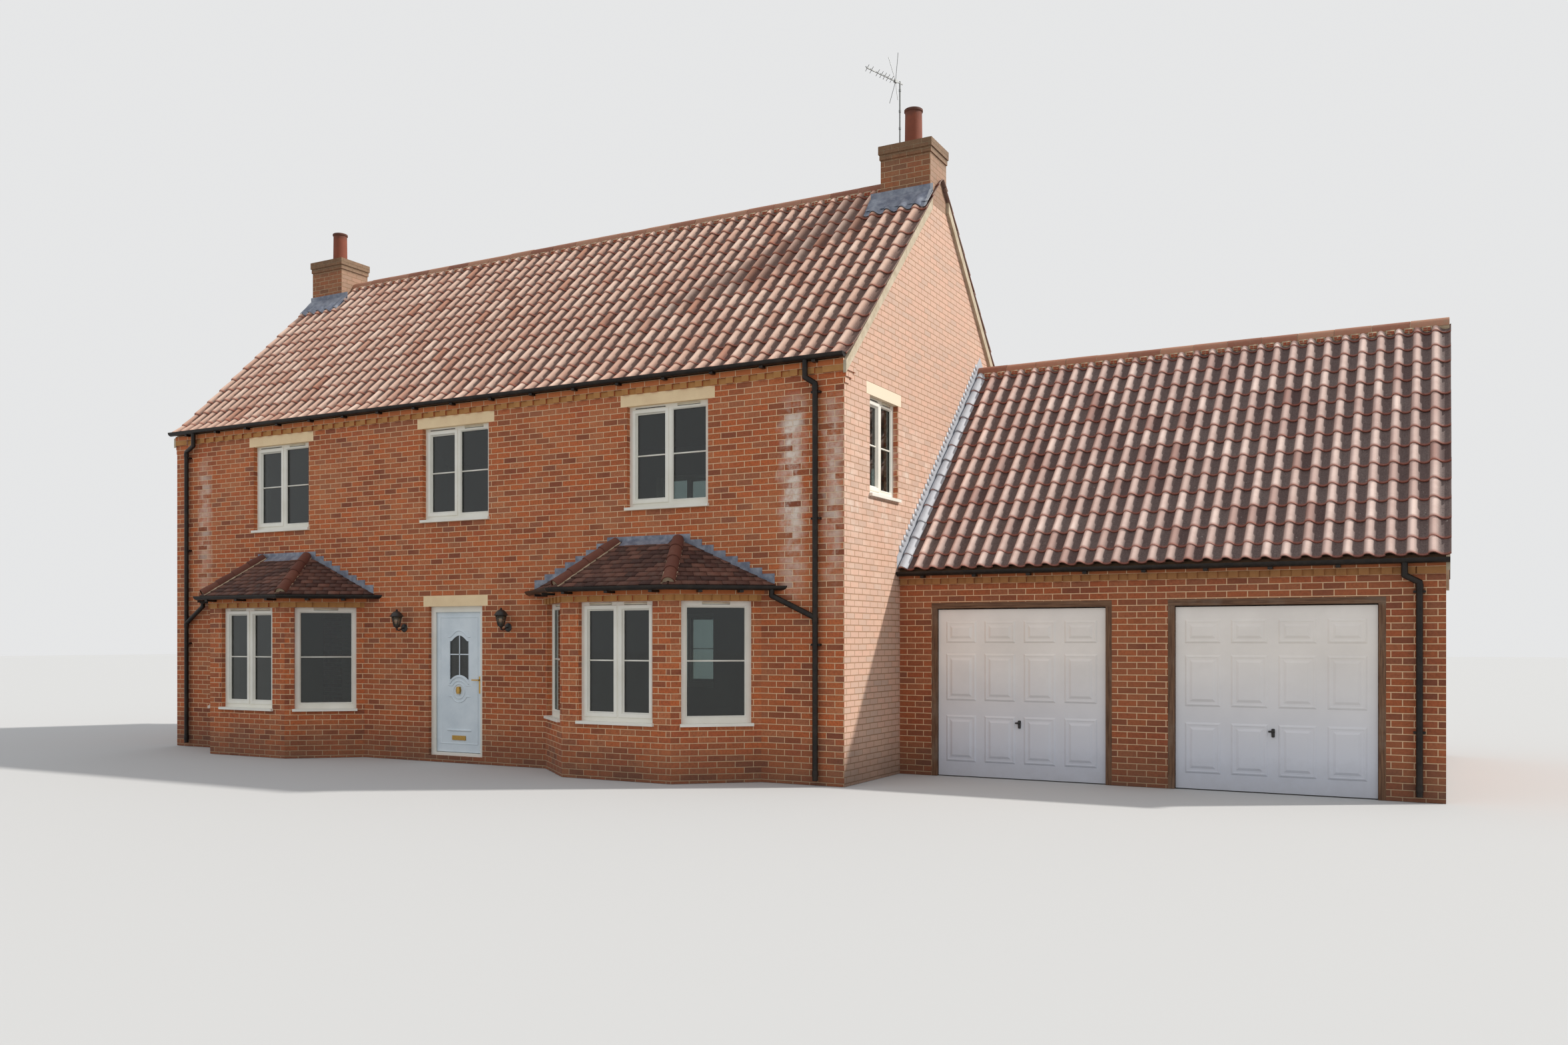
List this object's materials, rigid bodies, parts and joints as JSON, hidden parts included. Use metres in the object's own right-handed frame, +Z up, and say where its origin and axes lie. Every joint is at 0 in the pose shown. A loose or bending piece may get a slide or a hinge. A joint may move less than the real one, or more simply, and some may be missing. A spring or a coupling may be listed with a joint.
{
  "type": "detached house",
  "caption": "Two-storey brick house with canted bays, gable chimneys, pantiled roof and an attached double garage with up-and-over doors.",
  "frame": {"origin": "on the ground under the middle of the whole building's bounding box", "axes": "+X along the front from the left gable to the garage, +Y from front to back, +Z up"},
  "size_m": [18.456, 9.018, 10.1712],
  "materials": {
    "red_brick": "rough, mottled stretcher-bond brick with buff joints",
    "concrete": "float finished",
    "floor_boards": "matt",
    "plain_tile": "matt, dark plum",
    "clay_tile": "matt, weathered terracotta",
    "clay_pot": "matt terracotta",
    "lintel_stone": "smooth reconstructed stone",
    "white_plastic": "satin",
    "window_glass": "clear",
    "black_metal": "satin",
    "black_plastic": "satin",
    "cream_mortar": "trowelled",
    "brown_timber": "weathered stain",
    "lead": "dull patinated sheet",
    "aerial_metal": "weathered",
    "brass": "polished",
    "white_door": "satin",
    "bare_steel": "zinc plated"
  },
  "bodies": {
    "house": {"front_wall_left": "red_brick", "front_wall_right": "red_brick", "front_wall_upper": "red_brick", "left_gable_wall": "red_brick", "right_gable_wall": "red_brick", "rear_wall": "red_brick", "ground_floor": "concrete", "first_floor": "floor_boards", "left_bay_wall": "red_brick", "right_bay_wall": "red_brick", "left_bay_roof": "plain_tile", "right_bay_roof": "plain_tile", "front_roof_slope": "clay_tile", "rear_roof_slope": "clay_tile", "ridge_tiles": "clay_tile", "left_chimney": "red_brick", "right_chimney": "red_brick", "chimney_pots": "clay_pot", "stone_lintels": "lintel_stone", "window_sills": "white_plastic", "upper_windows": "white_plastic", "bay_windows": "white_plastic", "gable_windows": "white_plastic", "rear_windows": "white_plastic", "upper_glass": "window_glass", "ground_glass": "window_glass", "door_frame": "white_plastic", "wall_lanterns": "black_metal", "gutters": "black_plastic", "downpipes": "black_plastic", "garage_piers": "red_brick", "garage_front_beam": "red_brick", "garage_side_wall": "red_brick", "garage_rear_wall": "red_brick", "garage_floor": "concrete", "garage_front_slope": "clay_tile", "garage_rear_slope": "clay_tile", "garage_ridge": "clay_tile", "garage_door_frames": "brown_timber", "lead_flashings": "lead", "verge_strips": "cream_mortar", "tv_aerial": "aerial_metal"},
    "front_door_leaf": {"front_door": "white_plastic", "door_glass": "window_glass", "door_furniture": "brass"},
    "left_arms": {"left_lift_arms": "bare_steel"},
    "left_garage_leaf": {"garage_door_left": "white_door"},
    "right_arms": {"right_lift_arms": "bare_steel"},
    "right_garage_leaf": {"garage_door_right": "white_door"}
  },
  "joints": [
    {"name": "front_door_swing", "type": "hinge", "parent": "house", "child": "front_door_leaf", "pos_m": [-3.5755, -3.417, 1.14], "axis": [0, 0, 1], "range_deg": [0, 90]},
    {"name": "left_garage_lift", "type": "hinge", "parent": "house", "child": "left_arms", "pos_m": [4.522, -1.77, 1.31], "axis": [-1, 0, 0], "range_deg": [0, 125]},
    {"name": "left_garage_tilt", "type": "hinge", "parent": "left_arms", "child": "left_garage_leaf", "pos_m": [4.522, -1.77, 0.16], "axis": [-1, 0, 0], "range_deg": [-35, 0]},
    {"name": "right_garage_lift", "type": "hinge", "parent": "house", "child": "right_arms", "pos_m": [7.468, -1.77, 1.31], "axis": [-1, 0, 0], "range_deg": [0, 125]},
    {"name": "right_garage_tilt", "type": "hinge", "parent": "right_arms", "child": "right_garage_leaf", "pos_m": [7.468, -1.77, 0.16], "axis": [-1, 0, 0], "range_deg": [-35, 0]}
  ],
  "couplings": [
    {"joint": "left_garage_tilt", "follows": "left_garage_lift", "ratio": -0.28},
    {"joint": "right_garage_tilt", "follows": "right_garage_lift", "ratio": -0.28}
  ]
}
